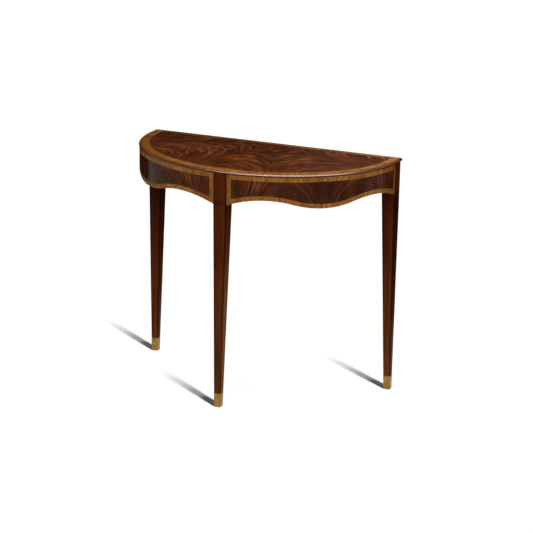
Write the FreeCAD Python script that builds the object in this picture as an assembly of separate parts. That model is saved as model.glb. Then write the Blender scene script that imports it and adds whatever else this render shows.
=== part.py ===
import FreeCAD, Part
import math
import os

# Demilune table: a bow-fronted half-round top on two serpentine aprons, one front leg and two back legs.
# Millimetres, +Z up, +Y to the wall, -Y to the front.
# The origin lies on the floor, under the middle of the top.

# Overall sizes
table_height = 762.0
table_width = 864.0
table_depth = 426.0
straight_side = 35.0            # straight stretch of each side, from the back edge to where the bow starts
bow_turn = 45.0                 # degrees of the front arc on each side of the centre line

# Top
top_thickness = 9.0
veneer_thickness = 1.0
moulding_width = 8.0            # solid edge moulding, from its nose to the crossband
nose_inset = 3.2                # how far the rounded nose turns in at the underside and at the quirk
quirk_depth = 1.2               # the small step above the nose
crossband_width = 26.0
back_crossband_width = 19.0
back_lipping_width = 3.0
whole_fan_leaves = 3            # crotch veneer leaves of the fan, which has half a leaf more at each end
front_arc_segments = 7          # crossband lengths on each half of the front arc
side_arc_segments = 5           # crossband lengths on each side arc
back_band_segments = 10

# Aprons
nose_overhang = 2.0             # the apron's face lies this far inside the nose
apron_core_thickness = 19.0
band_width = 14.0               # satinwood band round each apron panel
crown_depth = 73.0              # apron depth at the two arches of its lower edge
drop_depth = 97.0               # apron depth at the drop between the arches
crown_from_leg = 122.0          # developed distance from each leg to the nearest arch
arch_share = 0.466              # arch radius as a share of arch and drop radii together
apron_band_segments = 8

# Legs and toe caps
leg_size = 43.5
foot_size = 20.5                # square of the tapered leg where it would reach the floor
leg_arris = 0.8                 # the legs' long edges are eased by this much
leg_block_height = 97.0         # square part of the leg beside the apron, above the taper
back_overhang = 11.0            # the top passes the back legs by this much, to clear a skirting board
string_height = 1.6             # dark lines let into the front leg
string_depth = 1.0
string_gap = 7.0                # from one line to the next
cap_height = 46.0
cap_wall = 1.4
cap_proud = 0.7                 # the cap stands this much outside the leg
cap_base = 2.0
cap_ease = 2.0                  # eased lower edge of the cap

# Inner frame
rail_thickness = 19.0
back_rail_height = 67.0
back_rail_setback = 3.0         # the rail lies this far inside the back face of the legs
centre_rail_height = 55.0
block_height = 24.0
block_reach = 48.0              # legs of the triangular corner blocks
tenon_thickness = 9.0
tenon_length = 17.0             # in the legs
stub_tenon_length = 11.0        # in the back rail
tenon_shoulder = 10.0           # above and below each tenon
screw_diameter = 4.0
screw_head_diameter = 8.0
screw_head_height = 2.6
screw_bite = 5.0                # depth of a screw in the top

# Sizes worked out from those above
half_width = table_width / 2
back_edge = table_depth / 2
front_nose = -table_depth / 2
bow_start = back_edge - straight_side
top_underside = table_height - top_thickness
veneer_floor = table_height - veneer_thickness

turn = math.radians(bow_turn)
bow_depth = table_depth - straight_side
radius_step = (half_width - bow_depth) / (math.sin(turn) + math.cos(turn) - 1)
side_radius = bow_depth - radius_step * (1 - math.cos(turn))
front_radius = side_radius + radius_step
side_centre = FreeCAD.Vector(half_width - side_radius, bow_start, 0)
front_centre = FreeCAD.Vector(0, front_nose + front_radius, 0)
front_run = (front_radius - nose_overhang) * turn
side_run = (side_radius - nose_overhang) * (math.pi / 2 - turn)
straight_run = front_run + side_run

core_face = nose_overhang + veneer_thickness
core_back = core_face + apron_core_thickness
leg_half = leg_size / 2
leg_outer = half_width - nose_overhang
leg_inner = leg_outer - leg_size
back_leg_back = back_edge - back_overhang
back_leg_front = back_leg_back - leg_size
front_leg_front = front_nose + nose_overhang
front_leg_back = front_leg_front + leg_size
taper_top = top_underside - leg_block_height
back_rail_back = back_leg_back - back_rail_setback
back_rail_front = back_rail_back - rail_thickness

field_inset = moulding_width + crossband_width
crossband_back = back_edge - back_lipping_width
field_back = crossband_back - back_crossband_width

X_AXIS = FreeCAD.Vector(1, 0, 0)
Y_AXIS = FreeCAD.Vector(0, 1, 0)
Z_AXIS = FreeCAD.Vector(0, 0, 1)
ORIGIN = FreeCAD.Vector(0, 0, 0)


def run_at_side(y):
    """Distance along the apron face, from the front centre, to where it reaches this y on the right side."""
    if y >= bow_start:
        return straight_run + y - bow_start
    radius = side_radius - nose_overhang
    return straight_run - radius * math.asin((bow_start - y) / radius)


apron_start = (front_radius - nose_overhang) * math.asin(leg_half / (front_radius - nose_overhang))
apron_end = run_at_side(back_leg_front)
apron_middle = (apron_start + apron_end) / 2
crown_from_middle = (apron_end - apron_start) / 2 - crown_from_leg
hem_rise = drop_depth - crown_depth
hem_radii = (crown_from_middle ** 2 + hem_rise ** 2) / (2 * hem_rise)
arch_radius = hem_radii * arch_share
drop_radius = hem_radii - arch_radius
hem_slope = math.asin(crown_from_middle / hem_radii)


def line(start, end):
    return Part.LineSegment(start, end).toShape()


def flat_face(points):
    return Part.Face(Part.makePolygon(points + points[:1]))


def box(x0, x1, y0, y1, z0, z1):
    return Part.makeBox(x1 - x0, y1 - y0, z1 - z0, FreeCAD.Vector(x0, y0, z0))


def prism(corners, z0, z1):
    """Upright solid on a plan of straight lines."""
    return flat_face([FreeCAD.Vector(x, y, z0) for x, y in corners]).extrude(Z_AXIS * (z1 - z0))


def mirrored(shape):
    """The same piece on the left side."""
    return shape.mirror(ORIGIN, X_AXIS)


def both_sides(shapes):
    return shapes + [mirrored(shape) for shape in shapes]


def bow_point(run, offset):
    """Plan point of the right half: run is along the apron face from the front centre, offset is in
    from the nose."""
    if run <= front_run:
        angle = run / (front_radius - nose_overhang)
        centre, radius = front_centre, front_radius - offset
    elif run <= straight_run:
        angle = turn + (run - front_run) / (side_radius - nose_overhang)
        centre, radius = side_centre, side_radius - offset
    else:
        return FreeCAD.Vector(half_width - offset, bow_start + run - straight_run, 0)
    return centre + FreeCAD.Vector(math.sin(angle), -math.cos(angle), 0) * radius


def bow_edges(run_a, run_b, offset):
    """Edges of the path at one offset, split where the plan's arcs meet."""
    breaks = [run for run in (front_run, straight_run) if run_a < run < run_b]
    stops = [run_a] + breaks + [run_b]
    edges = []
    for first, last in zip(stops, stops[1:]):
        start, end = bow_point(first, offset), bow_point(last, offset)
        if first >= straight_run:
            edges.append(line(start, end))
        else:
            edges.append(Part.Arc(start, bow_point((first + last) / 2, offset), end).toShape())
    return edges


def bow_span(run_a, run_b, outer, inner, z0, z1):
    """Upright strip of the right half between two runs and two offsets, with ends square to the path."""
    edges = bow_edges(run_a, run_b, outer) + bow_edges(run_a, run_b, inner)
    for run in (run_a, run_b):
        edges.append(line(bow_point(run, outer), bow_point(run, inner)))
    face = Part.Face(Part.Wire(Part.__sortEdges__(edges)))
    face.translate(Z_AXIS * z0)
    return face.extrude(Z_AXIS * (z1 - z0))


def bow_plate(offset, back, z0, z1):
    """Plate of the table's plan, inset from the nose and cut off straight at the back."""
    edges = both_sides(bow_edges(0, run_at_side(back), offset))
    reach = half_width - offset
    edges.append(line(FreeCAD.Vector(-reach, back, 0), FreeCAD.Vector(reach, back, 0)))
    face = Part.Face(Part.Wire(Part.__sortEdges__(edges)))
    face.translate(Z_AXIS * z0)
    return face.extrude(Z_AXIS * (z1 - z0))


# Top

def moulding_profile(origin, outward):
    """Section of the edge moulding in the plane of Z and outward, with the nose at the origin."""
    def at(inset, height):
        return origin - outward * inset + Z_AXIS * (top_underside + height)

    round_height = top_thickness - quirk_depth
    under_inner = at(moulding_width, 0)
    under_outer = at(nose_inset, 0)
    nose = at(0, round_height / 2)
    quirk_foot = at(nose_inset, round_height)
    quirk_top = at(nose_inset, top_thickness)
    top_inner = at(moulding_width, top_thickness)
    edges = [
        line(under_inner, under_outer),
        Part.Arc(under_outer, nose, quirk_foot).toShape(),
        line(quirk_foot, quirk_top),
        line(quirk_top, top_inner),
        line(top_inner, under_inner),
    ]
    return Part.Face(Part.Wire(edges))


def top_edge_moulding():
    """The section swept round the front and side arcs and along the straight sides, in one bent length."""
    side_angle = math.pi / 2 - turn
    front_way = FreeCAD.Vector(-math.sin(turn), -math.cos(turn), 0)
    front = moulding_profile(front_centre + front_way * front_radius, front_way)
    front = front.revolve(front_centre, Z_AXIS, math.degrees(2 * turn))
    side_way = FreeCAD.Vector(math.sin(turn), -math.cos(turn), 0)
    side = moulding_profile(side_centre + side_way * side_radius, side_way)
    side = side.revolve(side_centre, Z_AXIS, math.degrees(side_angle))
    straight = moulding_profile(FreeCAD.Vector(half_width, bow_start, 0), X_AXIS)
    straight = straight.extrude(Y_AXIS * straight_side)
    return front.fuse(both_sides([side, straight])).removeSplitter()


def top_core():
    return bow_plate(moulding_width, crossband_back, top_underside, veneer_floor)


def top_back_lipping():
    inner = half_width - moulding_width
    return box(-inner, inner, crossband_back, back_edge, top_underside, table_height)


def top_fan():
    """Wedge-shaped veneer leaves from the middle of the back edge to the crossband, right to left."""
    field = bow_plate(field_inset, field_back, veneer_floor, table_height)
    reach = table_width + table_depth
    leaf_turn = math.pi / (whole_fan_leaves + 1)
    seams = [leaf_turn * (number + 0.5) for number in range(whole_fan_leaves + 1)]
    turns = [0.0] + seams + [math.pi]
    leaves = []
    for first, last in zip(turns, turns[1:]):
        corners = [(0.0, field_back)]
        for angle in (first, (first + last) / 2, last):
            corners.append((reach * math.cos(angle), field_back - reach * math.sin(angle)))
        leaves.append(field.common(prism(corners, veneer_floor, table_height)))
    return leaves


def top_crossband_front():
    """Short lengths of cross-cut veneer round the rim, none of them across a change of radius."""
    stops = [front_run * number / front_arc_segments for number in range(front_arc_segments)]
    stops += [front_run + side_run * number / side_arc_segments for number in range(side_arc_segments)]
    stops += [straight_run, run_at_side(crossband_back)]
    right = []
    for first, last in zip(stops, stops[1:]):
        right.append(bow_span(first, last, moulding_width, field_inset, veneer_floor, table_height))
    return both_sides(right)


def top_crossband_back():
    inner = half_width - field_inset
    length = 2 * inner / back_band_segments
    lengths = []
    for number in range(back_band_segments):
        start = number * length - inner
        lengths.append(box(start, start + length, field_back, crossband_back, veneer_floor, table_height))
    return lengths


# Aprons, right-hand side

def hem_height(run, rise):
    """Height of the line that runs this far above the apron's lower edge, arch to drop to arch."""
    from_middle = abs(run - apron_middle)
    drop = drop_radius - rise
    if from_middle < drop * math.sin(hem_slope):
        return top_underside - drop_depth + drop_radius - math.sqrt(drop ** 2 - from_middle ** 2)
    from_crown = from_middle - crown_from_middle
    return top_underside - crown_depth - arch_radius + math.sqrt((arch_radius + rise) ** 2 - from_crown ** 2)


def below_hem(rise):
    """All that lies under the lower edge, or under a line parallel to it, square to the apron's face."""
    passing = band_width / 2
    steps = 28
    first = apron_start - passing
    runs = [first + (apron_end + passing - first) * number / steps for number in range(steps + 1)]
    edges = []
    for offset in (-passing, core_back + passing):
        points = [bow_point(run, offset) + Z_AXIS * hem_height(run, rise) for run in runs]
        curve = Part.BSplineCurve()
        curve.interpolate(points)
        edges.append(curve.toShape())
    return Part.makeRuledSurface(edges[0], edges[1]).extrude(Z_AXIS * -table_height)


def between_legs():
    """The space that an apron has between the front leg's side and the back leg's front."""
    return box(leg_half, table_width, -table_depth, back_leg_front, 0, table_height)


def apron_strip(run_a, run_b, outer, inner, z0, z1):
    return bow_span(run_a, run_b, outer, inner, z0, z1).common(between_legs())


def apron_core(under_hem):
    """Bent lamination with the serpentine lower edge, its ends cut to the legs and tenoned into them."""
    passing = core_back
    core = apron_strip(apron_start - passing, apron_end + passing, core_face, core_back, 0, top_underside)
    return core.cut(under_hem).fuse(apron_tenons())


def apron_skin(run_a, run_b, z0, z1):
    """Veneer on the apron's face."""
    return apron_strip(run_a, run_b, nose_overhang, core_face, z0, z1)


def apron_end_bands(under_hem):
    """Upright bands beside the front leg and beside the back leg, full height."""
    passing = core_back
    front = apron_skin(apron_start - passing, apron_start + band_width, 0, top_underside).cut(under_hem)
    back = apron_skin(apron_end - band_width, apron_end + passing, 0, top_underside).cut(under_hem)
    return front, back


def apron_stops(pieces):
    """Runs that divide the stretch between the end bands."""
    first = apron_start + band_width
    length = apron_end - band_width - first
    return [first + length * number / pieces for number in range(pieces + 1)]


def apron_top_band():
    stops = apron_stops(apron_band_segments)
    low = top_underside - band_width
    return [apron_skin(first, last, low, top_underside) for first, last in zip(stops, stops[1:])]


def apron_bottom_band(under_hem, under_panel):
    stops = apron_stops(apron_band_segments)
    lengths = []
    for first, last in zip(stops, stops[1:]):
        lengths.append(apron_skin(first, last, 0, top_underside).cut(under_hem).common(under_panel))
    return lengths


def apron_panel_leaves(under_panel):
    """Two book-matched leaves of dark crotch veneer that meet over the drop."""
    stops = apron_stops(2)
    high = top_underside - band_width
    return [apron_skin(first, last, 0, high).cut(under_panel) for first, last in zip(stops, stops[1:])]


# Legs and toe caps

def eased_square(x0, x1, y0, y1, z):
    """Corner points of a square section whose four corners are eased."""
    ease = leg_arris
    corners = [(x1, y0 + ease), (x1, y1 - ease), (x1 - ease, y1), (x0 + ease, y1),
               (x0, y1 - ease), (x0, y0 + ease), (x0 + ease, y0), (x1 - ease, y0)]
    return [FreeCAD.Vector(x, y, z) for x, y in corners]


def stacked(sections):
    """Solid with flat sides through sections of corner points, lowest first."""
    faces = [flat_face(sections[0]), flat_face(sections[-1])]
    for lower, upper in zip(sections, sections[1:]):
        for number in range(len(lower)):
            after = (number + 1) % len(lower)
            faces.append(flat_face([lower[number], lower[after], upper[after], upper[number]]))
    return Part.Solid(Part.Shell(faces))


class Leg:
    """A leg, square beside the apron and tapered below, from its block and foot as x0, x1, y0, y1."""

    def __init__(self, block, foot):
        self.block = block
        self.foot = foot

    def section(self, z, grow):
        share = z / taper_top
        x0, x1, y0, y1 = [low + (high - low) * share for low, high in zip(self.foot, self.block)]
        return eased_square(x0 - grow, x1 + grow, y0 - grow, y1 + grow, z)

    def wood(self):
        top = eased_square(*self.block, top_underside)
        upper = stacked([self.section(cap_height, 0), eased_square(*self.block, taper_top), top])
        return upper.fuse(self.toe()).removeSplitter()

    def toe(self):
        """The thinned foot that the brass cap goes over."""
        thinner = cap_proud - cap_wall
        return stacked([self.section(cap_base, thinner), self.section(cap_height, thinner)])

    def cap(self):
        rims = [(0, cap_proud - cap_ease), (cap_ease, cap_proud), (cap_height, cap_proud)]
        return stacked([self.section(z, grow) for z, grow in rims]).cut(self.toe())


def front_leg():
    """Upright at the front, tapered at both sides and at the back."""
    block = (-leg_half, leg_half, front_leg_front, front_leg_back)
    foot = (-foot_size / 2, foot_size / 2, front_leg_front, front_leg_front + foot_size)
    return Leg(block, foot)


def back_leg():
    """Right back leg: upright at its outer side and its back."""
    block = (leg_inner, leg_outer, back_leg_front, back_leg_back)
    foot = (leg_outer - foot_size, leg_outer, back_leg_back - foot_size, back_leg_back)
    return Leg(block, foot)


def front_leg_stringing():
    """Two dark lines across the foot of the front leg's square part."""
    reach = leg_half - leg_arris
    lines = []
    for z in (taper_top, taper_top + string_gap):
        string_back = front_leg_front + string_depth
        lines.append(box(-reach, reach, front_leg_front, string_back, z, z + string_height))
    return lines


# Inner frame

def tenon_along_x(x0, x1, y, depth):
    """Tenon of a rail or apron that is this deep, centred on y."""
    half = tenon_thickness / 2
    low = top_underside - depth + tenon_shoulder
    return box(x0, x1, y - half, y + half, low, top_underside - tenon_shoulder)


def tenon_along_y(x, y0, y1, depth):
    half = tenon_thickness / 2
    low = top_underside - depth + tenon_shoulder
    return box(x - half, x + half, y0, y1, low, top_underside - tenon_shoulder)


def apron_tenons():
    """Right apron into the front leg and into the back leg, in the middle of the core."""
    middle = (core_face + core_back) / 2
    depth = top_underside - hem_height(apron_start, 0)
    front = bow_point(apron_start, middle)
    back = bow_point(apron_end, middle)
    return [tenon_along_x(leg_half - tenon_length, leg_half, front.y, depth),
            tenon_along_y(back.x, back_leg_front, back_leg_front + tenon_length, depth)]


def back_rail_tenon():
    """Back rail into the right back leg."""
    middle = (back_rail_front + back_rail_back) / 2
    return tenon_along_x(leg_inner, leg_inner + tenon_length, middle, back_rail_height)


def centre_rail_tenons():
    """Centre rail into the front leg, and its stub into the back rail."""
    return [tenon_along_y(0, front_leg_back - tenon_length, front_leg_back, centre_rail_height),
            tenon_along_y(0, back_rail_front, back_rail_front + stub_tenon_length, centre_rail_height)]


def back_rail():
    low = top_underside - back_rail_height
    rail = box(-leg_inner, leg_inner, back_rail_front, back_rail_back, low, top_underside)
    return rail.fuse(both_sides([back_rail_tenon()])).cut(centre_rail_tenons())


def centre_rail():
    half = rail_thickness / 2
    low = top_underside - centre_rail_height
    return box(-half, half, front_leg_back, back_rail_front, low, top_underside).fuse(centre_rail_tenons())


def back_block():
    """Right back corner block: sits in the corner of leg, back rail and apron."""
    corner_x = half_width - core_back
    corners = [(leg_inner - block_reach, back_rail_front), (half_width, back_rail_front),
               (half_width, back_leg_front - block_reach), (corner_x, back_leg_front - block_reach)]
    return prism(corners, top_underside - block_height, top_underside)


def front_block():
    """Right front corner block: sits in the corner of front leg and apron."""
    corners = [(leg_half, front_leg_back), (leg_half, front_nose), (leg_half + block_reach, front_nose),
               (leg_half + block_reach, front_nose + core_back)]
    return prism(corners, top_underside - block_height, top_underside)


def top_screw(x, y):
    """Countersunk screw up through a corner block into the top."""
    start = FreeCAD.Vector(x, y, top_underside - block_height)
    head = Part.makeCone(screw_head_diameter / 2, screw_diameter / 2, screw_head_height, start, Z_AXIS)
    shank = Part.makeCylinder(screw_diameter / 2, block_height + screw_bite, start, Z_AXIS)
    return head.fuse(shank).removeSplitter()


def top_screws():
    """Right back block and right front block, one screw each, in the thick of the block."""
    third = block_reach / 3
    back = top_screw(leg_inner - third / 2, back_leg_front - third / 2)
    front_y = front_nose + core_back + third / 2
    return [back, top_screw(leg_half + third, front_y)]


def export(name, shapes):
    """Write one node: a single solid, or a group of like solids."""
    solids = [solid for shape in shapes for solid in shape.Solids]
    shape = solids[0] if len(solids) == 1 else Part.makeCompound(solids)
    shape.exportStep(f"parts/{name}.step")


def export_pair(name, shapes):
    """Write the right-hand piece and its mirror image."""
    export(f"{name}_right", shapes)
    export(f"{name}_left", [mirrored(shape) for shape in shapes])


def build_top():
    export("top_core", [top_core().cut(both_sides(top_screws()))])
    export("top_edge_moulding", [top_edge_moulding()])
    export("top_back_lipping", [top_back_lipping()])
    for number, leaf in enumerate(top_fan(), start=1):
        export(f"top_fan_leaf_{number}", [leaf])
    export("top_crossband_front", top_crossband_front())
    export("top_crossband_back", top_crossband_back())


def build_aprons():
    under_hem = below_hem(0)
    under_panel = below_hem(band_width)
    export_pair("apron_core", [apron_core(under_hem)])
    front_band, back_band = apron_end_bands(under_hem)
    export_pair("apron_band_front_end", [front_band])
    export_pair("apron_band_back_end", [back_band])
    export_pair("apron_band_top", apron_top_band())
    export_pair("apron_band_bottom", apron_bottom_band(under_hem, under_panel))
    for place, leaf in zip(("front", "back"), apron_panel_leaves(under_panel)):
        export_pair(f"apron_panel_{place}", [leaf])


def build_legs():
    front = front_leg()
    lines = front_leg_stringing()
    front_mortises = both_sides(apron_tenons()) + centre_rail_tenons()
    export("front_leg", [front.wood().cut(lines + front_mortises)])
    export("front_leg_stringing", lines)
    export("toe_cap_front", [front.cap()])
    back = back_leg()
    export_pair("back_leg", [back.wood().cut(apron_tenons() + [back_rail_tenon()])])
    export_pair("toe_cap_back", [back.cap()])


def build_frame():
    export("back_rail", [back_rail()])
    export("centre_rail", [centre_rail()])
    inside = bow_plate(core_back, back_leg_back, 0, table_height)
    screws = top_screws()
    export_pair("back_block", [back_block().common(inside).cut([back_leg().wood()] + screws)])
    export_pair("front_block", [front_block().common(inside).cut(screws)])
    export("top_screws", both_sides(screws))


def main():
    os.makedirs("parts", exist_ok=True)
    build_top()
    build_aprons()
    build_legs()
    build_frame()


main()
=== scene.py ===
import math

import bmesh
import bpy
from mathutils import Matrix, Vector


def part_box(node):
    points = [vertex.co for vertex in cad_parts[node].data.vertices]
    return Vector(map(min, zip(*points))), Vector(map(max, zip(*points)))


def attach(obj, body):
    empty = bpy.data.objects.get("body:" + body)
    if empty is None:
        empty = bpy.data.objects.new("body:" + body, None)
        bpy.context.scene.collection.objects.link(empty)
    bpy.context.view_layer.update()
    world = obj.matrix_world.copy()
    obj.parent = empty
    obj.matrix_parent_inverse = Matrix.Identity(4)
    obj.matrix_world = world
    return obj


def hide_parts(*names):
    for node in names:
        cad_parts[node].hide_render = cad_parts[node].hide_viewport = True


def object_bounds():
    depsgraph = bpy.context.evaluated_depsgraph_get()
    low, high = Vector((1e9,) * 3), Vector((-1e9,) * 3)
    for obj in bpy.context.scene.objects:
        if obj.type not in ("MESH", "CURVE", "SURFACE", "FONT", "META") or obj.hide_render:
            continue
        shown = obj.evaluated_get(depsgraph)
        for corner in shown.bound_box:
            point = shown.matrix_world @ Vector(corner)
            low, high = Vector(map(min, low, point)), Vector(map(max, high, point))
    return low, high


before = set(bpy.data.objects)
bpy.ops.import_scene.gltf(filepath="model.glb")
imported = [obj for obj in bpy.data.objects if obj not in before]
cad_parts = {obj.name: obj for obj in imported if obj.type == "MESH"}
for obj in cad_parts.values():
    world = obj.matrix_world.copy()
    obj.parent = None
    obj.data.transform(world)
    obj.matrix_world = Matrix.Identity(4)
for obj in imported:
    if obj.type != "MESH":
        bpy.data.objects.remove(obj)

# Looks of the demilune table: smooth veneers, mouldings and bands on the frame's pieces,
# and all finishes. Metres, in the frame of the solids: +X right, +Y to the wall, +Z up,
# origin on the floor.

cad_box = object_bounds()
low, high = cad_box

# Plan of the bow, from the frame and two of its driving sizes
straight_side = 0.035
turn = math.radians(45)
half_width = high.x
back_edge = high.y
front_nose = low.y
table_top = high.z
bow_start = back_edge - straight_side
bow_depth = bow_start - front_nose
radius_step = (half_width - bow_depth) / (math.sin(turn) + math.cos(turn) - 1)
side_radius = bow_depth - radius_step * (1 - math.cos(turn))
front_radius = side_radius + radius_step
side_centre = Vector((half_width - side_radius, bow_start))
front_centre = Vector((0, front_nose + front_radius))

# Top
top_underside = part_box("top_edge_moulding")[0].z
veneer_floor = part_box("top_core")[1].z
nose_inset = 0.0032
quirk_depth = 0.0012
moulding_width = half_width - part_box("top_core")[1].x
crossband_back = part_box("top_crossband_back")[1].y
field_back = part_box("top_crossband_back")[0].y
field_inset = half_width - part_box("top_crossband_back")[1].x
front_arc_segments = 7
side_arc_segments = 5
back_band_segments = 10
fan_spines = [math.radians(angle) for angle in (0, 45, 90, 135, 180)]

# Aprons
nose_overhang = half_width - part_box("back_leg_right")[1].x
veneer_thickness = table_top - veneer_floor
leg_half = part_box("front_leg")[1].x
back_leg_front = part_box("back_leg_right")[0].y
band_width = top_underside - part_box("apron_band_top_right")[0].z
crown_depth = 0.073
drop_depth = 0.097
crown_from_leg = 0.122
arch_share = 0.466
apron_band_segments = 8
plume_from_middle = 0.122           # from the join of two panel leaves to the crown of each figure

# Legs
foot_size = 0.0205
taper_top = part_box("front_leg_stringing")[0].z
string_height = 0.0022
string_gap = 0.007
cap_proud = 0.0007
cap_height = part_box("toe_cap_front")[1].z
cap_base = 0.002
toe_thinning = 0.0007               # the foot is this much thinner on each side inside its cap

front_run = (front_radius - nose_overhang) * turn
side_run = (side_radius - nose_overhang) * (math.pi / 2 - turn)
straight_run = front_run + side_run

# Fine shapes that the solids leave out
run_step = 0.0025                   # longest facet along the bow
veneer_ease = 0.00012               # eased edges of the veneer pieces
joint_gap = 0.00006                 # half the hairline between two lengths of band
nose_steps = 16                     # facets round the nose of the moulding
corner_points = 5                   # points on each rounded corner of a leg
sharp_angle = math.radians(24)      # edges that turn more than this stay sharp
arris_ease = 0.0009
bevel_segments = 2
bevel_angle = math.radians(20)      # edges of the frame's pieces that turn more than this are eased
string_proud = 0.00005
cap_edge_ease = 0.0004
cap_foot_ease = 0.0018
cap_corner_ease = 0.0024


def run_at_side(y):
    """Run along the apron face, from the front centre, to where it reaches this y on the right."""
    if y >= bow_start:
        return straight_run + y - bow_start
    radius = side_radius - nose_overhang
    return straight_run - radius * math.asin((bow_start - y) / radius)


apron_start = (front_radius - nose_overhang) * math.asin(leg_half / (front_radius - nose_overhang))
apron_end = run_at_side(back_leg_front)
apron_middle = (apron_start + apron_end) / 2
crown_from_middle = (apron_end - apron_start) / 2 - crown_from_leg
hem_rise = drop_depth - crown_depth
hem_radii = (crown_from_middle ** 2 + hem_rise ** 2) / (2 * hem_rise)
arch_radius = hem_radii * arch_share
drop_radius = hem_radii - arch_radius
hem_slope = math.asin(crown_from_middle / hem_radii)


def bow_point(run, offset):
    """Plan point at a run along the apron face, from the front centre and minus to the left,
    at this offset in from the nose."""
    reach = abs(run)
    if reach <= front_run:
        angle = reach / (front_radius - nose_overhang)
        centre, radius = front_centre, front_radius - offset
    elif reach <= straight_run:
        angle = turn + (reach - front_run) / (side_radius - nose_overhang)
        centre, radius = side_centre, side_radius - offset
    else:
        return Vector((math.copysign(half_width - offset, run), bow_start + reach - straight_run))
    point = centre + Vector((math.sin(angle), -math.cos(angle))) * radius
    return Vector((math.copysign(point.x, run), point.y))


def back_point(run, offset):
    """Plan point along the back edge, offset in from the crossband's outer line."""
    return Vector((run, crossband_back - offset))


def hem_height(run, rise):
    """Height of the line that runs this far above the apron's lower edge, arch to drop to arch."""
    from_middle = abs(abs(run) - apron_middle)
    drop = drop_radius - rise
    if from_middle < drop * math.sin(hem_slope):
        return top_underside - drop_depth + drop_radius - math.sqrt(drop ** 2 - from_middle ** 2)
    from_crown = from_middle - crown_from_middle
    arch = arch_radius + rise
    return top_underside - crown_depth - arch_radius + math.sqrt(arch ** 2 - from_crown ** 2)


# Meshes

def stations(first, last):
    """Evenly spaced runs, close enough for a smooth bow."""
    count = max(1, math.ceil((last - first) / run_step))
    return [first + (last - first) * number / count for number in range(count + 1)]


def sweep(mesh, runs, section, path):
    """Adds a closed bar: a section of offsets and heights, carried along the path with flat ends.
    The map named run holds the run and the offset plus height of each corner, in metres."""
    chart = mesh.loops.layers.uv["run"]
    rings = []
    for run in runs:
        ring = []
        for offset, height in section(run):
            point = path(run, offset)
            ring.append((mesh.verts.new((point.x, point.y, height)), run, offset + height))
        rings.append(ring)
    walls = [rings[0][::-1], rings[-1]]
    size = len(rings[0])
    for ring, after in zip(rings, rings[1:]):
        for number in range(size):
            beside = (number + 1) % size
            walls.append([ring[number], ring[beside], after[beside], after[number]])
    for wall in walls:
        face = mesh.faces.new([corner[0] for corner in wall])
        for loop, corner in zip(face.loops, wall):
            loop[chart].uv = corner[1:]


def new_mesh():
    mesh = bmesh.new()
    mesh.loops.layers.uv.new("run")
    return mesh


def piece(name, mesh, material, nodes):
    """Makes the mesh a piece of the table that stands for these nodes of the frame."""
    bmesh.ops.recalc_face_normals(mesh, faces=mesh.faces)
    data = bpy.data.meshes.new(name)
    mesh.to_mesh(data)
    mesh.free()
    data.shade_smooth()
    data.set_sharp_from_angle(angle=sharp_angle)
    made = bpy.data.objects.new(name, data)
    bpy.context.scene.collection.objects.link(made)
    data.materials.append(material)
    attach(made, "root")
    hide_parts(*nodes)
    return made


def flat_section(outer, inner, bottom, top):
    """Section of a veneer that lies flat, with its upper edges eased."""
    ease = veneer_ease
    return [(outer, bottom), (outer, top - ease), (outer + ease, top),
            (inner - ease, top), (inner, top - ease), (inner, bottom)]


def upright_section(bottom, top):
    """Section of a veneer on the apron's face, with its outer edges eased."""
    ease = veneer_ease
    outer = nose_overhang
    inner = nose_overhang + veneer_thickness
    return [(inner, bottom), (outer + ease, bottom), (outer, bottom + ease),
            (outer, top - ease), (outer + ease, top), (inner, top)]


def moulding_section(run):
    """Section of the edge moulding: a rounded nose, a small step and a flat top."""
    round_height = table_top - top_underside - quirk_depth
    half = round_height / 2
    radius = (half ** 2 + nose_inset ** 2) / (2 * nose_inset)
    reach = math.asin(half / radius)
    points = [(moulding_width, top_underside)]
    for number in range(nose_steps + 1):
        angle = reach * (2 * number / nose_steps - 1)
        offset = radius - radius * math.cos(angle)
        points.append((offset, top_underside + half + radius * math.sin(angle)))
    ease = veneer_ease * 2
    points.append((nose_inset, table_top - ease))
    points.append((nose_inset + ease, table_top))
    points.append((moulding_width, table_top))
    return points


def make_moulding(material):
    end = run_at_side(back_edge)
    mesh = new_mesh()
    sweep(mesh, stations(-end, end), moulding_section, bow_point)
    return piece("edge_moulding", mesh, material, ["top_edge_moulding"])


def make_front_crossband(material):
    stops = [front_run * number / front_arc_segments for number in range(front_arc_segments)]
    for number in range(side_arc_segments):
        stops.append(front_run + side_run * number / side_arc_segments)
    stops += [straight_run, run_at_side(crossband_back)]
    section = flat_section(moulding_width, field_inset, veneer_floor, table_top)
    mesh = new_mesh()
    for first, last in zip(stops, stops[1:]):
        for side in (1, -1):
            ends = sorted((side * (first + joint_gap), side * (last - joint_gap)))
            sweep(mesh, stations(*ends), lambda run: section, bow_point)
    piece("crossband_front", mesh, material, ["top_crossband_front"])


def make_back_crossband(material):
    inner = half_width - field_inset
    length = 2 * inner / back_band_segments
    section = flat_section(0, crossband_back - field_back, veneer_floor, table_top)
    mesh = new_mesh()
    for number in range(back_band_segments):
        start = number * length - inner
        ends = [start + joint_gap, start + length - joint_gap]
        sweep(mesh, ends, lambda run: section, back_point)
    piece("crossband_back", mesh, material, ["top_crossband_back"])


def apron_stops(pieces):
    """Runs that divide the stretch between the end bands."""
    first = apron_start + band_width
    length = apron_end - band_width - first
    return [first + length * number / pieces for number in range(pieces + 1)]


def apron_piece(name, side, spans, section, material, node):
    mesh = new_mesh()
    for first, last in spans:
        ends = sorted((side * (first + joint_gap), side * (last - joint_gap)))
        sweep(mesh, stations(*ends), section, bow_point)
    piece(name, mesh, material, [node])


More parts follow.
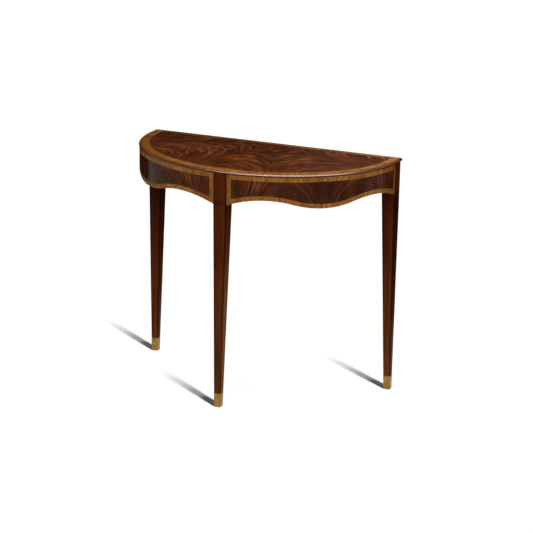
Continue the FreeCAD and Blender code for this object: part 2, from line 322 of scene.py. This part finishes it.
def make_apron(word, side, band_material, panel_material):
    """Bands and panel leaves of one apron; side is 1 on the right and -1 on the left."""
    band_low = top_underside - band_width
    stops = apron_stops(apron_band_segments)
    lengths = list(zip(stops, stops[1:]))
    halves = apron_stops(2)

    def full(run):
        return upright_section(hem_height(run, 0), top_underside)

    def upper(run):
        return upright_section(band_low, top_underside)

    def lower(run):
        return upright_section(hem_height(run, 0), hem_height(run, band_width))

    def field(run):
        return upright_section(hem_height(run, band_width), band_low)

    bands = {
        "front_end": ([(apron_start, stops[0])], full),
        "back_end": ([(stops[-1], apron_end)], full),
        "top": (lengths, upper),
        "bottom": (lengths, lower),
    }
    for place, (spans, section) in bands.items():
        name = f"band_{place}_{word}"
        node = f"apron_band_{place}_{word}"
        apron_piece(name, side, spans, section, band_material, node)
    for place, span in zip(("front", "back"), zip(halves, halves[1:])):
        name = f"panel_{place}_{word}"
        node = f"apron_panel_{place}_{word}"
        apron_piece(name, side, [span], field, panel_material, node)


def rounded_square(sides, grow, ease, z):
    """Ring of points round a square section, grown on all sides, with rounded corners."""
    x0, x1, y0, y1 = sides
    left, right = x0 - grow + ease, x1 + grow - ease
    front, back = y0 - grow + ease, y1 + grow - ease
    corners = ((right, front, -90), (right, back, 0), (left, back, 90), (left, front, 180))
    ring = []
    for x, y, start in corners:
        for number in range(corner_points):
            angle = math.radians(start + 90 * number / (corner_points - 1))
            ring.append((x + ease * math.cos(angle), y + ease * math.sin(angle), z))
    return ring


def add_column(mesh, rings):
    """Adds a closed column through rings of points, lowest first.
    The map named run holds -1 to 1 across each flat face, and the height."""
    chart = mesh.loops.layers.uv["run"]
    grid = [[mesh.verts.new(point) for point in ring] for ring in rings]
    size = len(grid[0])
    mesh.faces.new(grid[0][::-1])
    mesh.faces.new(grid[-1])
    for lower, upper in zip(grid, grid[1:]):
        for number in range(size):
            beside = (number + 1) % size
            face = mesh.faces.new([lower[number], lower[beside], upper[beside], upper[number]])
            start = -1 if beside % corner_points == 0 else 1
            for loop, across in zip(face.loops, (start, 1, 1, start)):
                loop[chart].uv = (across, loop.vert.co.z)


def leg_sides(node, foot, z):
    """Left, right, front and back of a leg at this height."""
    block_low, block_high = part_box(node)
    block = (block_low.x, block_high.x, block_low.y, block_high.y)
    share = min(1, z / taper_top)
    return [near + (far - near) * share for near, far in zip(foot, block)]


def make_leg(name, node, foot, material):
    """A leg, square beside the apron and tapered below it, thinned inside its cap."""
    levels = [
        (cap_base, -toe_thinning),
        (cap_height, -toe_thinning),
        (cap_height, 0),
        (taper_top, 0),
        (top_underside, 0),
    ]
    mesh = new_mesh()
    rings = [rounded_square(leg_sides(node, foot, z), grow, arris_ease, z) for z, grow in levels]
    add_column(mesh, rings)
    piece(name, mesh, material, [node])


def make_cap(name, leg, cap, foot, material):
    """A toe cap round the foot of a leg, with rounded corners and a rounded lower edge."""
    mesh = new_mesh()
    rings = []
    for number in range(corner_points):
        angle = math.radians(90 * number / (corner_points - 1))
        z = cap_foot_ease * (1 - math.cos(angle))
        grow = cap_proud - cap_foot_ease * (1 - math.sin(angle))
        rings.append(rounded_square(leg_sides(leg, foot, z), grow, cap_corner_ease, z))
    rim = ((cap_height - cap_edge_ease, cap_proud), (cap_height, cap_proud - cap_edge_ease))
    for z, grow in rim:
        rings.append(rounded_square(leg_sides(leg, foot, z), grow, cap_corner_ease, z))
    add_column(mesh, rings)
    return piece(name, mesh, material, [cap])


def make_legs(front_wood, back_wood, brass):
    """The three legs and their toe caps; hands back the caps."""
    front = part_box("front_leg")[0].y
    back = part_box("back_leg_right")[1].y
    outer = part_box("back_leg_right")[1].x
    front_foot = (-foot_size / 2, foot_size / 2, front, front + foot_size)
    right_foot = (outer - foot_size, outer, back - foot_size, back)
    left_foot = (-outer, foot_size - outer, back - foot_size, back)
    feet = {
        "front": ("front_leg", "toe_cap_front", front_foot),
        "right": ("back_leg_right", "toe_cap_back_right", right_foot),
        "left": ("back_leg_left", "toe_cap_back_left", left_foot),
    }
    caps = []
    for place, (leg, cap, foot) in feet.items():
        make_leg(f"leg_{place}", leg, foot, front_wood if place == "front" else back_wood)
        caps.append(make_cap(f"cap_{place}", leg, cap, foot, brass))
    return caps


def make_stringing(material):
    """Two dark lines let into the front leg, a hair proud of it."""
    string_low, string_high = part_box("front_leg_stringing")
    left, right = string_low.x, string_high.x
    front, back = string_low.y - string_proud, string_high.y
    ring = [(left, front), (right, front), (right, back), (left, back)]
    mesh = new_mesh()
    for z in (taper_top, taper_top + string_gap):
        rings = [[(x, y, height) for x, y in ring] for height in (z, z + string_height)]
        add_column(mesh, rings)
    piece("leg_stringing", mesh, material, ["front_leg_stringing"])


# Materials

# Tones, which are added to a wood's value before it becomes a colour
arris_darkening = 0.6                   # how much darker a leg is along its arrises
arris_width = 0.16                  # width of that darkening, as a share of half a face
under_nose = 0.0042                 # height of the painted shade line under the nose
# how much darker the painted shade under the nose makes the moulding
nose_painted_shade = 0.6
painted_shading_start = taper_top + 0.02       # a leg's painted light and shade begins at this height
painted_shading_length = 0.04                  # and is full this far below it
side_turn = 0.09                    # share of the taper where a right side goes from darker to paler, in painted shade and light

# Painted light and shade of a leg: its tone at the top of its taper and how much paler its foot is,
# then what its right side adds
front_leg_painted_shading = (0.0, 0.3, 0.0, 0.648)
back_leg_painted_shading = (-0.24, 0.62, -0.2, 0.0)

# Painted light across the table: tones at its left and right ends
panel_painted_light_tones = (0.06, -0.05)
top_band_painted_light_tones = (0.0, 0.2)
back_band_painted_light_tones = (-0.35, 0.12)
apron_band_painted_light_tones = (0.10, -0.01)

# Each leaf of the fan, from the right: the slope and rounding of its figure, its tone,
# and its gain near the spine
fan_figures = [(1.8, 0.06, -0.08, 0.6), (1.1, 0.13, -0.07, 0.7), (1.6, 0.11, -0.06, 0.7),
               (1.6, 0.11, -0.05, 0.7), (1.6, 0.11, -0.14, 0.7)]

# How strongly each surface mirrors, as the shader's specular level
top_gloss = 0.35
moulding_gloss = 0.19
lipping_gloss = 0.1
panel_gloss = 0.04
apron_band_gloss = 0.03
bare_gloss = 0.02
leg_gloss = 0.012
line_gloss = 0.01

# Colours from dark to light, each with its place on the scale
CROTCH_COLOURS = [(0.0, (32, 11, 3)), (0.32, (60, 25, 7)), (0.52, (86, 39, 12)),
                  (0.74, (118, 60, 22)), (1.0, (158, 92, 40))]
PANEL_COLOURS = [(0.0, (28, 10, 4)), (0.36, (56, 25, 10)), (0.56, (82, 40, 17)),
                 (0.78, (120, 68, 30)), (1.0, (156, 100, 48))]
MAHOGANY_COLOURS = [(0.0, (36, 12, 3)), (0.4, (70, 29, 8)),
                    (0.6, (86, 40, 14)), (1.0, (122, 72, 36))]
SATINWOOD_COLOURS = [(0.0, (90, 40, 4)), (0.4, (130, 72, 14)),
                     (0.62, (156, 95, 36)), (1.0, (206, 148, 84))]
BAND_COLOURS = [(0.0, (86, 46, 14)), (0.4, (124, 76, 29)),
                (0.62, (148, 95, 42)), (1.0, (194, 140, 80))]
MOULDING_COLOURS = [(0.0, (40, 16, 5)), (0.5, (99, 50, 15)), (1.0, (150, 86, 38))]
SECONDARY_COLOURS = [(0.0, (104, 74, 44)), (0.5, (142, 108, 70)), (1.0, (176, 142, 98))]
LINE_COLOURS = [(0.0, (14, 6, 3)), (1.0, (40, 17, 8))]
BRASS_COLOURS = [(0.0, (112, 78, 28)), (0.5, (146, 110, 52)), (1.0, (180, 146, 86))]
STEEL_COLOURS = [(0.0, (130, 130, 132)), (1.0, (178, 178, 180))]
FLOOR_COLOURS = [(0.0, (243, 243, 243)), (1.0, (245, 245, 245))]
CARD_COLOURS = [(0.0, (10, 9, 9)), (1.0, (18, 17, 17))]
FLOOR_BOUNCE = (186, 186, 186)      # the floor as the table's dull surfaces see it


def paint(red, green, blue):
    """A colour written as it shows on a screen, from 0 to 255, as the shader's linear values."""
    values = []
    for part in (red, green, blue):
        share = part / 255
        values.append(share / 12.92 if share <= 0.04045 else ((share + 0.055) / 1.055) ** 2.4)
    return (*values, 1.0)


class Shader:
    """The nodes of one material: adds them by type, sets or links inputs, hands back outputs."""

    def __init__(self, name):
        self.material = bpy.data.materials.new(name)
        self.material.use_nodes = True
        self.tree = self.material.node_tree
        self.tree.nodes.clear()

    def put(self, socket, value):
        if isinstance(value, bpy.types.NodeSocket):
            self.tree.links.new(value, socket)
        else:
            socket.default_value = value

    def node(self, kind, inputs, **settings):
        made = self.tree.nodes.new("ShaderNode" + kind)
        for name, value in settings.items():
            setattr(made, name, value)
        for name, value in inputs.items():
            self.put(made.inputs[name], value)
        return made

    def math(self, operation, *values):
        made = self.node("Math", {}, operation=operation)
        for socket, value in zip(made.inputs, values):
            self.put(socket, value)
        return made.outputs[0]

    def add(self, *values):
        total = values[0]
        for value in values[1:]:
            total = self.math("ADD", total, value)
        return total

    def times(self, first, second):
        return self.math("MULTIPLY", first, second)

    def bell(self, value, middle, width):
        """1 where the value is at the middle, and about a third at this width from it."""
        apart = self.math("DIVIDE", self.math("SUBTRACT", value, middle), width)
        return self.math("EXPONENT", self.times(self.times(apart, apart), -1.0))

    def split(self, vector):
        made = self.node("SeparateXYZ", {"Vector": vector})
        return made.outputs[0], made.outputs[1], made.outputs[2]

    def join(self, x, y, z):
        return self.node("CombineXYZ", {"X": x, "Y": y, "Z": z}).outputs[0]

    def stretch(self, vector, scales):
        made = self.node("VectorMath", {}, operation="MULTIPLY")
        self.put(made.inputs[0], vector)
        made.inputs[1].default_value = scales
        return made.outputs[0]

    def noise(self, vector, scale, detail=2.0):
        """Cloudy values about 0, from -0.5 to 0.5."""
        made = self.node("TexNoise", {"Vector": vector, "Scale": scale, "Detail": detail})
        return self.math("SUBTRACT", made.outputs["Fac"], 0.5)

    def ramp(self, value, stops):
        made = self.node("ValToRGB", {"Fac": value})
        points = made.color_ramp.elements
        while len(points) < len(stops):
            points.new(1.0)
        for point, (place, colour) in zip(points, stops):
            point.position = place
            point.color = paint(*colour)
        return made.outputs["Color"]

    def mix(self, factor, first, second):
        """The first colour where the factor is 0, the second where it is 1."""
        made = self.node("Mix", {"Factor": factor}, data_type="RGBA")
        first_colour, second_colour, mixed_colour = made.inputs[6], made.inputs[7], made.outputs[2]
        self.put(first_colour, first)
        self.put(second_colour, second)
        return mixed_colour

    def finish(self, colour, roughness, height, depth, specular=0.5, metallic=0.0):
        """The surface: its colour and gloss, and a bump of this depth from the height."""
        bump = self.node("Bump", {"Height": height, "Distance": depth, "Strength": 1.0})
        surface = self.node("BsdfPrincipled", {
            "Base Color": colour,
            "Roughness": roughness,
            "Normal": bump.outputs[0],
            "Specular IOR Level": specular,
            "Metallic": metallic,
        })
        output = self.node("OutputMaterial", {})
        self.tree.links.new(surface.outputs[0], output.inputs["Surface"])
        return self.material

    def place(self):
        return self.node("TexCoord", {}).outputs["Object"]

    def chart(self):
        return self.node("UVMap", {}, uv_map="run").outputs[0]

    def piece_tone(self):
        """A value about 0 that differs from one length of band to the next."""
        made = self.node("NewGeometry", {})
        return self.math("SUBTRACT", made.outputs["Random Per Island"], 0.5)

    def facing(self):
        """The way the surface faces, without its bumps."""
        return self.split(self.node("NewGeometry", {}).outputs["True Normal"])


def plume(shader, along, across, slope, rounding):
    """Lines of a crotch figure: rounded over the spine, then straight down on both sides."""
    spread = shader.add(shader.times(across, across), rounding ** 2)
    fall = shader.math("SUBTRACT", shader.math("SQRT", spread), rounding)
    return shader.math("SUBTRACT", along, shader.times(fall, slope))


def crotch_figure(shader, line, across, seed, flame_width, flame_gain, scale):
    """Ribbons, barbs and fibres along the figure's lines, changed by the gain near the spine."""
    flame = shader.bell(across, 0.0, flame_width)
    drift = shader.times(across, 0.12)

    def layer(drift_share, offset, fineness, detail=1.0):
        place = shader.join(line, shader.times(drift, drift_share), seed + offset)
        return shader.noise(place, scale * fineness, detail)

    ribbons = shader.times(layer(drift_share=1.0, offset=0.0, fineness=1.0), 0.9)
    barbs = shader.times(layer(drift_share=1.6, offset=3.0, fineness=2.3), 0.9)
    fibres = shader.times(layer(drift_share=0.4, offset=7.0, fineness=7.0), 0.35)
    contours = layer(drift_share=0.7, offset=11.0, fineness=1.2, detail=0.0)
    lights = shader.times(shader.bell(contours, 0.0, 0.045), 0.26)
    strength = shader.add(shader.times(flame, flame_gain), 0.6)
    bands = shader.times(shader.add(ribbons, barbs, lights), strength)
    return shader.add(bands, fibres), flame


def bent(shader, place, scale, amount):
    """The place, moved about by slow noise, so that lines wander as in grown wood."""
    made = shader.node("TexNoise", {"Vector": place, "Scale": scale, "Detail": 2.0})
    shift = shader.node("VectorMath", {}, operation="SUBTRACT")
    shader.put(shift.inputs[0], made.outputs["Color"])
    shift.inputs[1].default_value = (0.5, 0.5, 0.5)
    moved = shader.node("VectorMath", {}, operation="ADD")
    shader.put(moved.inputs[0], place)
    shader.put(moved.inputs[1], shader.stretch(shift.outputs[0], (amount, amount, 0.0)))
    return moved.outputs[0]


def fan_material(number, spine, slope, rounding, tone, gain):
    """Crotch mahogany of one leaf of the fan, its figure along the leaf's spine."""
    shader = Shader(f"crotch_mahogany_{number}")
    turned = {"Vector": shader.place(), "Location": (0, field_back, 0), "Rotation": (0, 0, -spine)}
    leaf = shader.node("Mapping", turned, vector_type="TEXTURE").outputs[0]
    along, across, rest = shader.split(bent(shader, leaf, scale=11.0, amount=0.022))
    line = plume(shader, along, across, slope, rounding)
    figure, flame = crotch_figure(shader, line, across, seed=3.0 * number, flame_width=0.09,
                                  flame_gain=gain, scale=62.0)
    glow = shader.times(shader.times(shader.bell(line, 0.21, 0.045), flame), 0.14)
    clouds = shader.times(shader.noise(leaf, 9.0), 0.30)
    paling = shader.times(shader.math("SUBTRACT", along, 0.24), 0.4)
    value = shader.add(shader.times(figure, 0.8), glow, clouds, paling, 0.5 + tone)
    colour = shader.ramp(value, CROTCH_COLOURS)
    return shader.finish(colour, roughness=0.24, height=figure, depth=0.00004, specular=top_gloss)


def painted_light_across(shader, left, right):
    """Painted light: a tone that goes evenly from one end of the table to the other."""
    across, depth, height = shader.split(shader.place())
    slope = (right - left) / (2 * half_width)
    return shader.add(shader.times(across, slope), (left + right) / 2)


def panel_material():
    """Dark crotch veneer of an apron: two leaves matched like a book's, each with a crowned figure."""
    shader = Shader("dark_crotch")
    chart = shader.chart()
    run, rise, rest = shader.split(chart)
    past_middle = shader.math("SUBTRACT", shader.math("ABSOLUTE", run), apron_middle)
    from_middle = shader.math("ABSOLUTE", past_middle)
    leaf = shader.join(from_middle, rise, 0.0)
    run, rise, rest = shader.split(bent(shader, leaf, scale=22.0, amount=0.010))
    across = shader.math("SUBTRACT", run, plume_from_middle)
    square = shader.times(across, across)
    arch = shader.add(shader.times(square, 8.0), shader.times(shader.times(square, square), 420.0))
    line = shader.add(rise, arch)
    figure, flame = crotch_figure(shader, line, across, seed=2.0, flame_width=0.05,
                                  flame_gain=-0.3, scale=42.0)
    clouds = shader.times(shader.noise(leaf, 14.0), 0.45)
    join = shader.times(shader.bell(from_middle, 0.0, 0.03), -0.16)
    patches = shader.times(shader.noise(shader.stretch(chart, (1.0, 0.3, 1.0)), 28.0), 0.5)
    value = shader.add(shader.times(figure, 1.05), clouds, patches, join)
    # painted light, lighter or darker from one end of the table to the other
    value = shader.add(value, painted_light_across(shader, *panel_painted_light_tones), 0.43)
    colour = shader.ramp(value, PANEL_COLOURS)
    return shader.finish(colour, roughness=0.14, height=figure, depth=0.00002, specular=panel_gloss)


def joint_ticks(shader, chart, pieces):
    """Pale hairlines where two lengths of an apron band meet, some plainer than others."""
    run, rise, rest = shader.split(chart)
    stops = apron_stops(apron_band_segments)
    length = stops[1] - stops[0]
    from_first = shader.math("SUBTRACT", shader.math("ABSOLUTE", run), stops[0])
    place = shader.math("DIVIDE", from_first, length)
    apart = shader.math("SUBTRACT", place, shader.math("ROUND", place))
    tick = shader.bell(shader.times(apart, length), 0.0, 0.0013)
    return shader.times(tick, shader.times(shader.add(pieces, 0.4), 0.4))


def satinwood_material(name, colours, specular, painted_light_tones, ticks=False):
    """Cross-cut satinwood in short lengths, the grain square to the band."""
    shader = Shader(name)
    chart = shader.chart()
    pieces = shader.piece_tone()
    streaks = shader.noise(shader.stretch(chart, (1.0, 0.06, 1.0)), 520.0)
    patches = shader.noise(shader.stretch(chart, (1.0, 0.35, 1.0)), 60.0)
    value = shader.add(shader.times(streaks, 0.5), shader.times(patches, 0.6))
    # painted light, lighter or darker from one end of the table to the other
    value = shader.add(value, shader.times(pieces, 0.2), painted_light_across(shader, *painted_light_tones), 0.5)
    if ticks:
        mottle = shader.times(shader.noise(shader.stretch(chart, (1.0, 0.8, 1.0)), 150.0), 0.85)
        value = shader.add(value, mottle, joint_ticks(shader, chart, pieces))
    colour = shader.ramp(value, colours)
    return shader.finish(colour, roughness=0.2, height=streaks, depth=0.00003, specular=specular)


def mahogany_material(shader, place, colours, roughness, specular, shade=0.0):
    """Stained solid mahogany: fine pores and slow ribbons along the grain, toned by the shade."""
    ribbons = shader.noise(place, 60.0)
    pores = shader.noise(place, 420.0, 1.0)
    value = shader.add(shader.times(ribbons, 0.55), shader.times(pores, 0.25), shade, 0.5)
    colour = shader.ramp(value, colours)
    return shader.finish(colour, roughness, height=pores, depth=0.00003, specular=specular)


def moulding_material():
    """The edge moulding's wood, with a painted shade line under the nose."""
    shader = Shader("mahogany_moulding")
    across, depth, height = shader.split(shader.place())
    shade = shader.times(shader.bell(height, top_underside, under_nose), -nose_painted_shade)
    place = shader.stretch(shader.chart(), (0.05, 1.0, 1.0))
    return mahogany_material(shader, place, MOULDING_COLOURS, 0.32, moulding_gloss, shade)


def leg_shade(shader, place, painted_shading):
    """What a leg adds to its wood's tone: streaks, darker arrises, and painted light and shade below
    the apron.
    """
    tone, paling, side_tone, side_paling = painted_shading
    across, height, rest = shader.split(shader.chart())
    facing, depth, upward = shader.facing()
    streaks = shader.times(shader.noise(place, 170.0), 0.45)
    edge = shader.bell(shader.math("ABSOLUTE", across), 1.0, arris_width)
    below = shader.times(shader.math("SUBTRACT", painted_shading_start, height), 1 / painted_shading_length)
    below = shader.math("MINIMUM", shader.math("MAXIMUM", below, 0.0), 1.0)
    # painted light and shade by height below the apron: its tone, growing paler toward the foot
    painted_shading_by_height = shader.add(shader.times(height, -paling / taper_top), tone + paling)
    from_top = shader.math("SUBTRACT", 1.0, shader.times(height, 1 / taper_top))
    spread = shader.math("SQRT", shader.math("MAXIMUM", from_top, 0.0))
    spread = shader.math("SUBTRACT", spread, math.sqrt(side_turn))
    # painted light and shade on a leg's right side, set by the last two values of its tuple
    right_side = shader.math("MAXIMUM", facing, 0.0)
    side_painted_shading_by_height = shader.add(shader.times(spread, side_paling), side_tone)
    painted_shading_by_height = shader.add(painted_shading_by_height, shader.times(right_side, side_painted_shading_by_height))
    return shader.add(streaks, shader.times(edge, -arris_darkening), shader.times(painted_shading_by_height, below))


def leg_material(name, painted_shading):
    shader = Shader(name)
    place = shader.stretch(shader.place(), (1.0, 1.0, 0.04))
    shade = leg_shade(shader, place, painted_shading)
    return mahogany_material(shader, place, MAHOGANY_COLOURS, 0.3, leg_gloss, shade)


def lipping_material():
    shader = Shader("mahogany_lengthwise")
    place = shader.stretch(shader.place(), (0.04, 1.0, 1.0))
    return mahogany_material(shader, place, MAHOGANY_COLOURS, 0.3, lipping_gloss)


def secondary_material(name, scales, stained=False):
    """Bare wood of the hidden pieces; an underside that shows is stained like the legs."""
    shader = Shader(name)
    place = shader.stretch(shader.place(), scales)
    rings = shader.noise(place, 45.0)
    pores = shader.noise(place, 380.0, 1.0)
    value = shader.add(shader.times(rings, 0.8), shader.times(pores, 0.35), 0.5)
    colour = shader.ramp(value, SECONDARY_COLOURS)
    if stained:
        across, depth, upward = shader.facing()
        underside = shader.math("LESS_THAN", upward, -0.3)
        colour = shader.mix(underside, colour, shader.ramp(value, MAHOGANY_COLOURS))
    return shader.finish(colour, roughness=0.62, height=pores, depth=0.00005, specular=bare_gloss)


def line_material():
    shader = Shader("dark_line")
    grain = shader.noise(shader.stretch(shader.place(), (0.1, 1.0, 1.0)), 900.0)
    colour = shader.ramp(shader.add(grain, 0.5), LINE_COLOURS)
    return shader.finish(colour, roughness=0.3, height=grain, depth=0.00002, specular=line_gloss)


def brass_material():
    """Satin brass, brushed along the leg and a little dulled in patches."""
    shader = Shader("brass")
    place = shader.place()
    brushing = shader.noise(shader.stretch(place, (1.0, 1.0, 0.04)), 1500.0)
    dulling = shader.noise(place, 70.0, 3.0)
    value = shader.add(shader.times(dulling, 0.9), shader.times(brushing, 0.4), 0.5)
    colour = shader.ramp(value, BRASS_COLOURS)
    roughness = shader.add(shader.times(dulling, -0.2), 0.38)
    return shader.finish(colour, roughness, height=brushing, depth=0.00002, metallic=1.0)


def steel_material():
    shader = Shader("screw_steel")
    grain = shader.noise(shader.place(), 900.0)
    colour = shader.ramp(shader.add(grain, 0.5), STEEL_COLOURS)
    return shader.finish(colour, roughness=0.35, height=grain, depth=0.00002, metallic=1.0)


def coat(names, material, ease=0.0):
    """Gives nodes of the frame a finish, and eases their edges."""
    for name in names:
        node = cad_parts[name]
        node.data.materials.clear()
        node.data.materials.append(material)
        if ease:
            bevel = node.modifiers.new("eased edges", "BEVEL")
            bevel.width = ease
            bevel.segments = bevel_segments
            bevel.limit_method = "ANGLE"
            bevel.angle_limit = bevel_angle
            bevel.harden_normals = True


def dress_table():
    satinwood = satinwood_material("satinwood_top", SATINWOOD_COLOURS, top_gloss, top_band_painted_light_tones)
    back_satinwood = satinwood_material("satinwood_back", SATINWOOD_COLOURS, top_gloss, back_band_painted_light_tones)
    apron_satinwood = satinwood_material("satinwood_apron", BAND_COLOURS, apron_band_gloss,
                                         apron_band_painted_light_tones, ticks=True)
    panels = panel_material()
    moulding = make_moulding(moulding_material())
    make_front_crossband(satinwood)
    make_back_crossband(back_satinwood)
    make_apron("right", 1, apron_satinwood, panels)
    make_apron("left", -1, apron_satinwood, panels)
    for number, (spine, figure) in enumerate(zip(fan_spines, fan_figures), start=1):
        coat([f"top_fan_leaf_{number}"], fan_material(number, spine, *figure))
    front_wood = leg_material("mahogany_front_leg", front_leg_painted_shading)
    back_wood = leg_material("mahogany_back_legs", back_leg_painted_shading)
    caps = make_legs(front_wood, back_wood, brass_material())
    make_stringing(line_material())
    coat(["top_back_lipping"], lipping_material(), arris_ease)
    across_wood = secondary_material("secondary_across", (0.05, 1.0, 1.0))
    depth_wood = secondary_material("secondary_depth", (1.0, 0.05, 1.0))
    stained_wood = secondary_material("secondary_stained", (0.05, 1.0, 1.0), stained=True)
    coat(["apron_core_left", "apron_core_right"], stained_wood)
    coat(["top_core"], across_wood)
    coat(["back_rail"], across_wood, arris_ease)
    coat(["centre_rail"], depth_wood, arris_ease)
    blocks = [f"{place}_block_{side}" for place in ("front", "back") for side in ("left", "right")]
    coat(blocks, depth_wood)
    coat(["top_screws"], steel_material())
    return moulding, caps


# Floor, light and camera

floor_reach = 40.0
floor_white = paint(244, 244, 244)[0]
floor_brightness = 1.03
shadow_share = 0.91                 # the part of the floor's light that the toe caps can shade
sun_azimuth = 55.2
sun_elevations = (27, 14.8, 10.7, 8.0)
sun_spread = 0.42                   # size of each floor light, as a share of its elevation
sun_distance = 5.0
glow_elevation = 89                 # the floor's light that nothing shades comes from here
card_corners = ((-2.2, 0.5), (1.5, 0.9), (32.0, 38.0), (-39.0, 38.0), (-39.0, 12.0))
card_height = 0.004
world_brightness = 0.015

# Lamps of the table: azimuth, elevation, distance, width, height and glow
table_lamps = {
    "overhead": (80, 76, 1.9, 1.6, 0.9, 6.2),
    "key": (24, 28, 3.0, 2.0, 1.5, 6.5),
    "back panel": (176, 16, 4.0, 3.6, 1.6, 0.035),
}
fill_lamps = {
    "left fill": (-80, 25, 3.0, 2.0, 2.0, 0.4),
    "right fill": (105, 5, 3.0, 2.0, 2.0, 0.7),
    "back fill": (180, 30, 3.0, 3.0, 2.0, 1.0),
}
moulding_lamp = (33, 60, 2.4, 4.4, 2.6, 39.0)

camera_azimuth = 23.442
camera_elevation = 16.603
camera_roll = math.radians(1.179)
camera_distance = 6.0046
camera_target = Vector((0.0622, 0.0130, 0.4095))
sensor_width = 36.0
picture_side = 533.0
focal_pixels = 1897.7


def make_floor():
    mesh = bpy.data.meshes.new("floor")
    reach = floor_reach
    corners = [(-reach, -reach, 0), (reach, -reach, 0), (reach, reach, 0), (-reach, reach, 0)]
    mesh.from_pydata(corners, [], [range(len(corners))])
    floor = bpy.data.objects.new("floor", mesh)
    bpy.context.scene.collection.objects.link(floor)
    shader = Shader("floor_paint")
    grain = shader.noise(shader.place(), 300.0)
    white = shader.ramp(shader.add(grain, 0.5), FLOOR_COLOURS)
    rays = shader.node("LightPath", {}).outputs
    seen = shader.add(rays["Is Camera Ray"], rays["Is Glossy Ray"], rays["Is Transmission Ray"])
    colour = shader.mix(shader.math("MINIMUM", seen, 1.0), paint(*FLOOR_BOUNCE), white)
    paper = shader.finish(colour, roughness=0.9, height=grain, depth=0.00001, specular=0.0)
    mesh.materials.append(paper)
    return floor


def make_card():
    """A dark card on the floor behind the table, seen only in the lacquer, which it keeps deep."""
    mesh = bpy.data.meshes.new("dark_card")
    mesh.from_pydata([(x, y, card_height) for x, y in card_corners], [], [range(len(card_corners))])
    card = bpy.data.objects.new("dark_card", mesh)
    bpy.context.scene.collection.objects.link(card)
    shader = Shader("card_cloth")
    weave = shader.noise(shader.place(), 400.0)
    cloth = shader.ramp(shader.add(weave, 0.5), CARD_COLOURS)
    felt = shader.finish(cloth, roughness=0.9, height=weave, depth=0.00001, specular=0.0)
    mesh.materials.append(felt)
    card.visible_camera = False
    card.visible_diffuse = False
    card.visible_shadow = False
    return card


def towards(azimuth, elevation):
    """Direction from the table, in degrees; azimuth turns from the front to the right."""
    azimuth, elevation = math.radians(azimuth), math.radians(elevation)
    flat = math.cos(elevation)
    return Vector((math.sin(azimuth) * flat, -math.cos(azimuth) * flat, math.sin(elevation)))


def add_lamp(name, data, aim, way, distance, receivers):
    lamp = bpy.data.objects.new(name, data)
    lamp.location = aim + way * distance
    lamp.rotation_euler = way.to_track_quat("Z", "Y").to_euler()
    bpy.context.scene.collection.objects.link(lamp)
    lamp.light_linking.receiver_collection = receivers
    return lamp


def floor_sun(name, elevation, brightness, receivers):
    """A sun that lights a white floor to this brightness."""
    data = bpy.data.lights.new(name, "SUN")
    data.energy = brightness * math.pi / (floor_white * math.sin(math.radians(elevation)))
    data.angle = math.radians(elevation * sun_spread)
    way = towards(sun_azimuth, elevation)
    return add_lamp(name, data, Vector((0, 0, 0)), way, sun_distance, receivers)


def soft_box(name, lamp, receivers):
    """A rectangular lamp that faces the table top; its power is in proportion to glow and area."""
    azimuth, elevation, distance, width, height, glow = lamp
    data = bpy.data.lights.new(name, "AREA")
    data.shape = "RECTANGLE"
    data.size = width
    data.size_y = height
    data.energy = glow * math.pi * width * height
    aim = Vector((0, 0, table_top))
    return add_lamp(name, data, aim, towards(azimuth, elevation), distance, receivers)


def group(name, members):
    made = bpy.data.collections.new(name)
    for member in members:
        made.objects.link(member)
    return made


def make_floor_lights(floor, caps):
    """Suns one above the other, shaded by the toe caps alone, for short shadows that fade outwards."""
    floor_alone = group("floor alone", [floor])
    shading = group("toe caps", caps)
    share = floor_brightness * shadow_share / len(sun_elevations)
    for elevation in sun_elevations:
        sun = floor_sun(f"floor light {elevation}", elevation, share, floor_alone)
        sun.light_linking.blocker_collection = shading
    unshaded = floor_brightness * (1 - shadow_share)
    glow = floor_sun("floor glow", glow_elevation, unshaded, floor_alone)
    glow.data.use_shadow = False


def make_lights(floor, moulding, caps):
    table_alone = group("all but the floor", [floor])
    table_alone.collection_objects[0].light_linking.link_state = "EXCLUDE"
    make_floor_lights(floor, caps)
    for name, lamp in table_lamps.items():
        soft_box(name, lamp, table_alone)
    for name, lamp in fill_lamps.items():
        fill = soft_box(name, lamp, table_alone)
        fill.visible_glossy = False
    strip = soft_box("gloss strip", moulding_lamp, group("moulding alone", [moulding]))
    strip.visible_diffuse = False


def make_world():
    world = bpy.data.worlds.new("studio")
    world.use_nodes = True
    grey = (world_brightness, world_brightness, world_brightness, 1.0)
    world.node_tree.nodes["Background"].inputs["Color"].default_value = grey
    bpy.context.scene.world = world


def make_camera():
    data = bpy.data.cameras.new("camera")
    data.sensor_width = sensor_width
    data.lens = focal_pixels / picture_side * sensor_width
    data.clip_end = floor_reach * 2
    camera = bpy.data.objects.new("camera", data)
    back = towards(camera_azimuth, camera_elevation)
    level = Vector((0, 0, 1)).cross(back).normalized()
    upward = back.cross(level)
    right = level * math.cos(camera_roll) + upward * math.sin(camera_roll)
    up = upward * math.cos(camera_roll) - level * math.sin(camera_roll)
    turned = Matrix((right, up, back)).transposed().to_4x4()
    camera.matrix_world = Matrix.Translation(camera_target + back * camera_distance) @ turned
    bpy.context.scene.collection.objects.link(camera)
    bpy.context.scene.camera = camera


moulding, caps = dress_table()
make_lights(make_floor(), moulding, caps)
make_card()
make_world()
make_camera()
bpy.context.scene.view_settings.view_transform = "Standard"
